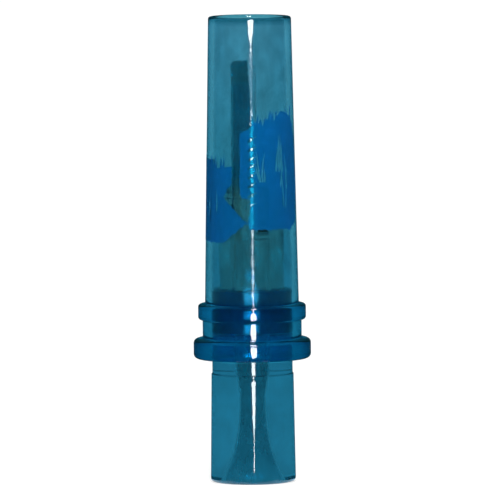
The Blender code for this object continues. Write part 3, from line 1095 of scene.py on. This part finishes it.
def strip_light():
    """The tall light in front, narrower and wider up its length, from (height, width) in mm."""
    x, y = STRIP_PLACE
    left = [(x - mm(w) / 2, y, mm(z)) for z, w in STRIP_WIDTHS]
    right = [(x + mm(w) / 2, y, mm(z)) for z, w in STRIP_WIDTHS]
    count = len(left)
    faces = [(i, i + 1, count + i + 1, count + i) for i in range(count - 1)]
    obj, tree = stage_mesh("front_strip", left + right, faces)
    plain(tree, Base_Color=BLACK, Emission_Color=WHITE, Emission_Strength=STRIP_RADIANCE)
    obj.visible_camera = False
    obj.visible_transmission = False


GLOW_PLACE = (-0.006, -0.161)
GLOW_HALF = 0.082
GLOW_HEIGHTS = (28.0, 38.0)
GLOW_COLOUR = (0.30, 0.78, 1.0)
GLOW_RADIANCE = 96.0


def glow_panel():
    """A blue bounce card behind the strip, fading to its sides.

    It lights only what is mirrored inside the clear plastic, so it shows as a soft glow on the plug.
    """
    half = GLOW_HALF
    low, high = [mm(z) for z in GLOW_HEIGHTS]
    corners = [(-half, 0, low), (half, 0, low), (half, 0, high), (-half, 0, high)]
    obj, tree = stage_mesh("glow_panel", corners, [(0, 1, 2, 3)])
    obj.location = (*GLOW_PLACE, 0)
    plain(tree, Base_Color=BLACK, Emission_Color=GLOW_COLOUR)
    away = tree.add("VectorMath", operation="LENGTH")
    tree.join(tree.point((1 / half, 0, 0)), away.inputs[0])
    near = tree.maths("SUBTRACT", 1.0, tree.maths("POWER", away.outputs["Value"], 2.0))
    faded = tree.maths("POWER", tree.maths("MAXIMUM", near, 0.0), 3.0)
    ray = tree.add("LightPath").outputs
    mirrored = tree.maths("MINIMUM", ray["Glossy Depth"], 1.0)
    within = tree.maths("MULTIPLY", mirrored, ray["Is Transmission Ray"])
    lit = tree.maths("MULTIPLY", tree.maths("MULTIPLY", faded, within), GLOW_RADIANCE)
    tree.join(lit, tree.shader.inputs["Emission Strength"])
    obj.visible_camera = False
    obj.visible_diffuse = False


SKY_STRENGTH = 1.12
SKY_SIDES = 0.8
SKY_RISE = (0.12, 0.6)
SKY_MIRRORED = (0.12, 0.30)
SKY_MIRRORED_TINT = (0.05, 0.55, 0.80)


def sky():
    """Soft white studio surround, a little dimmer to the sides. Mirrored, it is a dim blue."""
    world = bpy.data.worlds.new("studio")
    bpy.context.scene.world = world
    world.use_nodes = True
    graph = Graph(world.node_tree)
    back = graph.nodes["Background"]
    split = graph.add("SeparateXYZ")
    graph.join(graph.add("TexCoord").outputs["Generated"], split.inputs[0])
    ray = graph.add("LightPath").outputs

    sideways = graph.maths("POWER", graph.maths("ABSOLUTE", split.outputs["X"]), 2.0)
    dimmed = graph.maths("MULTIPLY_ADD", sideways, SKY_SIDES - 1, 1.0)
    low, high = [share - 1 for share in SKY_MIRRORED]
    rise = graph.ranged(split.outputs["Z"], *SKY_RISE, low, high, interpolation_type="SMOOTHSTEP")
    not_diffuse = graph.maths("SUBTRACT", 1.0, ray["Is Diffuse Ray"])
    glossy = graph.maths("MULTIPLY", ray["Is Reflection Ray"], not_diffuse)
    mirrored = graph.maths("ADD", graph.maths("MULTIPLY", rise, glossy), 1.0)
    shown = graph.maths("MAXIMUM", graph.maths("MULTIPLY", dimmed, mirrored), ray["Is Camera Ray"])
    graph.join(graph.maths("MULTIPLY", shown, SKY_STRENGTH), back.inputs["Strength"])
    graph.join(graph.mixed(glossy, WHITE, SKY_MIRRORED_TINT), back.inputs["Color"])


CAMERA_DISTANCE = 2.35
CAMERA_ELEVATION = 4.6
CAMERA_ROLL = 0.5
CAMERA_AIM = (-0.0004, 0, 0.0632)
FRAME_WIDTH = 0.1363
SENSOR_WIDTH = 36.0


def camera():
    """The far camera in front, a little above, that frames the standing call."""
    data = bpy.data.cameras.new("camera")
    data.sensor_width = SENSOR_WIDTH
    data.lens = SENSOR_WIDTH * CAMERA_DISTANCE / FRAME_WIDTH
    obj = link(bpy.data.objects.new("camera", data))
    rise = math.radians(CAMERA_ELEVATION)
    back = Vector((0, -math.cos(rise), math.sin(rise)))
    obj.location = Vector(CAMERA_AIM) + back * CAMERA_DISTANCE
    turn = (-back).to_track_quat("-Z", "Y").to_matrix().to_4x4()
    roll = Matrix.Rotation(math.radians(-CAMERA_ROLL), 4, "Z")
    obj.rotation_euler = (turn @ roll).to_euler()
    bpy.context.scene.camera = obj


# ---------------------------------------------------------------- the scene

MOST_BOUNCES = 64

build_barrel()
build_stopper()
build_board()
build_reeds_and_wedge()
build_print()

floor("floor", TABLE_HALF, TABLE_HEIGHT, False)
floor("floor_pad", PAD_HALF, PAD_HEIGHT, True)
sky()
strip_light()
glow_panel()
camera()
bpy.context.scene.view_settings.view_transform = "Standard"
bpy.context.scene.cycles.max_bounces = MOST_BOUNCES
bpy.context.scene.cycles.glossy_bounces = MOST_BOUNCES
bpy.context.scene.cycles.transmission_bounces = MOST_BOUNCES
